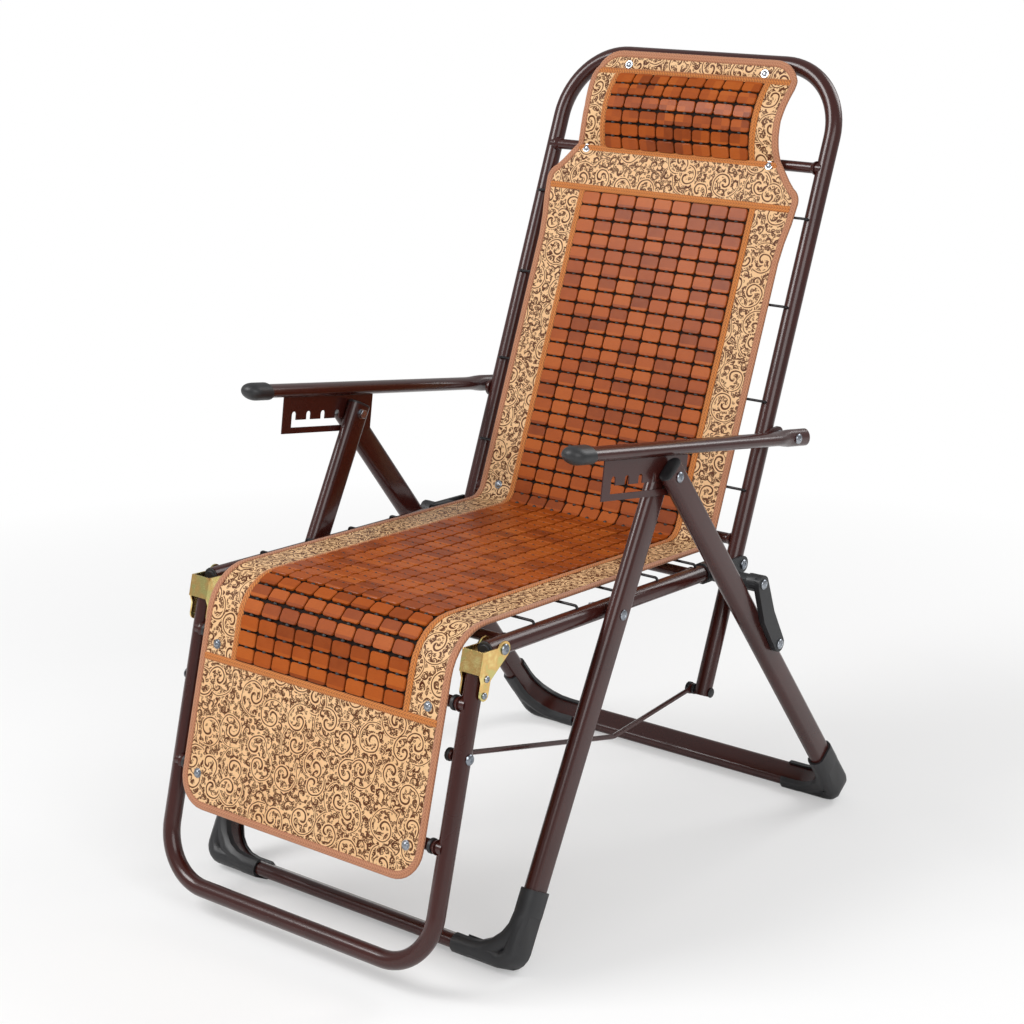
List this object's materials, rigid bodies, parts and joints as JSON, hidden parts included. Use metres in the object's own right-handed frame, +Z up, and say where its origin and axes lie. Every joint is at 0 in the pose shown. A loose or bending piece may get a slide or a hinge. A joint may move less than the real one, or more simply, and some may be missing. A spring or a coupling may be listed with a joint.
{
  "type": "folding recliner",
  "caption": "Folding recliner on a dark steel tube frame with a bamboo tile mat, head pillow, armrests with ratchet plates and a linked footrest.",
  "frame": {"origin": "on the floor, under the middle of the chair's outline", "axes": "+X across the seat, +Y from front to back, +Z up; the chair faces -Y. Pieces named right are on the +X side, as seen from the front"},
  "size_m": [0.651, 0.9764, 1.1408],
  "materials": {
    "brown_paint": "gloss",
    "black_plastic": "satin",
    "yellow_zinc": "satin",
    "bright_zinc": "satin",
    "dark_wire": "satin",
    "bamboo": "gloss",
    "printed_cloth": "matt",
    "edge_binding": "matt",
    "orange_tape": "matt"
  },
  "bodies": {
    "front_legs": {"front_leg_frame": "brown_paint", "front_boot_right": "black_plastic", "front_boot_left": "black_plastic", "apex_nut_right": "bright_zinc", "apex_nut_left": "bright_zinc", "seat_pivot_bolt_right": "bright_zinc", "seat_pivot_bolt_left": "bright_zinc"},
    "rear_legs": {"rear_leg_frame": "brown_paint", "rear_boot_right": "black_plastic", "rear_boot_left": "black_plastic", "apex_bolt_right": "bright_zinc", "apex_bolt_left": "bright_zinc", "link_lower_bolt_right": "bright_zinc", "link_lower_bolt_left": "bright_zinc"},
    "links": {"link_right": "black_plastic", "link_left": "black_plastic", "link_top_bolt_right": "bright_zinc", "link_top_bolt_left": "bright_zinc"},
    "seat": {"seat_frame": "brown_paint", "rail_cap_right": "black_plastic", "rail_cap_left": "black_plastic", "seat_end_fitting_right": "black_plastic", "seat_end_fitting_left": "black_plastic", "seat_wire_1": "dark_wire", "seat_wire_2": "dark_wire", "seat_wire_3": "dark_wire", "seat_wire_4": "dark_wire", "seat_wire_5": "dark_wire", "mat_seat": "bamboo"},
    "back_bolts": {"back_pivot_bolt_right": "bright_zinc", "back_pivot_bolt_left": "bright_zinc"},
    "back": {"back_frame": "brown_paint", "back_wire_1": "dark_wire", "back_wire_2": "dark_wire", "back_wire_3": "dark_wire", "back_wire_4": "dark_wire", "mat_back": "bamboo", "pillow": "printed_cloth"},
    "arm_bolts": {"arm_pivot_bolt_right": "bright_zinc", "arm_pivot_bolt_left": "bright_zinc"},
    "arms": {"armrest_right": "brown_paint", "armrest_left": "brown_paint", "arm_cap_right": "black_plastic", "arm_cap_left": "black_plastic", "ratchet_plate_right": "brown_paint", "ratchet_plate_left": "brown_paint"},
    "hinge_bolts": {"hinge_bolt_right": "bright_zinc", "hinge_bolt_left": "bright_zinc"},
    "footrest": {"footrest_frame": "brown_paint", "hinge_bracket_right": "yellow_zinc", "hinge_bracket_left": "yellow_zinc", "rod_front_bolt_right": "bright_zinc", "rod_front_bolt_left": "bright_zinc", "mat_footrest": "printed_cloth"},
    "rod_bolts": {"rod_rear_bolt_right": "black_plastic", "rod_rear_bolt_left": "black_plastic"},
    "rods": {"rod_right": "brown_paint", "rod_left": "brown_paint", "rod_knob_right": "black_plastic", "rod_knob_left": "black_plastic"}
  },
  "joints": [
    {"name": "seat_fold", "type": "hinge", "parent": "front_legs", "child": "seat", "pos_m": [0, -0.11597, 0.44718], "axis": [-1, 0, 0], "range_deg": [0, 50]},
    {"name": "rear_leg_fold", "type": "hinge", "parent": "front_legs", "child": "rear_legs", "pos_m": [0, -0.02471, 0.624], "axis": [-1, 0, 0], "range_deg": [0, 44.2]},
    {"name": "link_turn", "type": "hinge", "parent": "rear_legs", "child": "links", "pos_m": [0, 0.22629, 0.321], "axis": [-1, 0, 0], "range_deg": [0, 83.6]},
    {"name": "back_bolt_turn", "type": "hinge", "parent": "seat", "child": "back_bolts", "pos_m": [0, 0.20661, 0.43682], "axis": [-1, 0, 0], "range_deg": [-50.7, 0]},
    {"name": "back_recline", "type": "hinge", "parent": "back_bolts", "child": "back", "pos_m": [0, 0.20661, 0.43682], "axis": [-1, 0, 0], "range_deg": [0, 33.2]},
    {"name": "arm_bolt_turn", "type": "hinge", "parent": "back", "child": "arm_bolts", "pos_m": [0, 0.29429, 0.613], "axis": [-1, 0, 0], "range_deg": [0, 51.3]},
    {"name": "arm_swing", "type": "hinge", "parent": "arm_bolts", "child": "arms", "pos_m": [0, 0.29429, 0.613], "axis": [-1, 0, 0], "range_deg": [-24.4, 0]},
    {"name": "hinge_bolt_turn", "type": "hinge", "parent": "seat", "child": "hinge_bolts", "pos_m": [0, -0.33972, 0.45436], "axis": [-1, 0, 0], "range_deg": [-69.9, 0]},
    {"name": "footrest_swing", "type": "hinge", "parent": "hinge_bolts", "child": "footrest", "pos_m": [0, -0.33972, 0.45436], "axis": [-1, 0, 0], "range_deg": [0, 53.5]},
    {"name": "rod_bolt_turn", "type": "hinge", "parent": "back", "child": "rod_bolts", "pos_m": [0, 0.13662, 0.257], "axis": [-1, 0, 0], "range_deg": [0, 52.4]},
    {"name": "rod_swing", "type": "hinge", "parent": "rod_bolts", "child": "rods", "pos_m": [0, 0.13662, 0.257], "axis": [-1, 0, 0], "range_deg": [-29.3, 0]}
  ],
  "couplings": [
    {"joint": "rear_leg_fold", "follows": "seat_fold", "ratio": 0.8824},
    {"joint": "link_turn", "follows": "seat_fold", "ratio": 1.6703},
    {"joint": "back_bolt_turn", "follows": "seat_fold", "ratio": -1.0121},
    {"joint": "arm_bolt_turn", "follows": "seat_fold", "ratio": 1.0242},
    {"joint": "hinge_bolt_turn", "follows": "seat_fold", "ratio": -1.3958},
    {"joint": "rod_bolt_turn", "follows": "seat_fold", "ratio": 1.0464},
    {"joint": "arm_swing", "follows": "back_recline", "ratio": -0.7318},
    {"joint": "footrest_swing", "follows": "back_recline", "ratio": 1.6073},
    {"joint": "rod_swing", "follows": "back_recline", "ratio": -0.881}
  ]
}
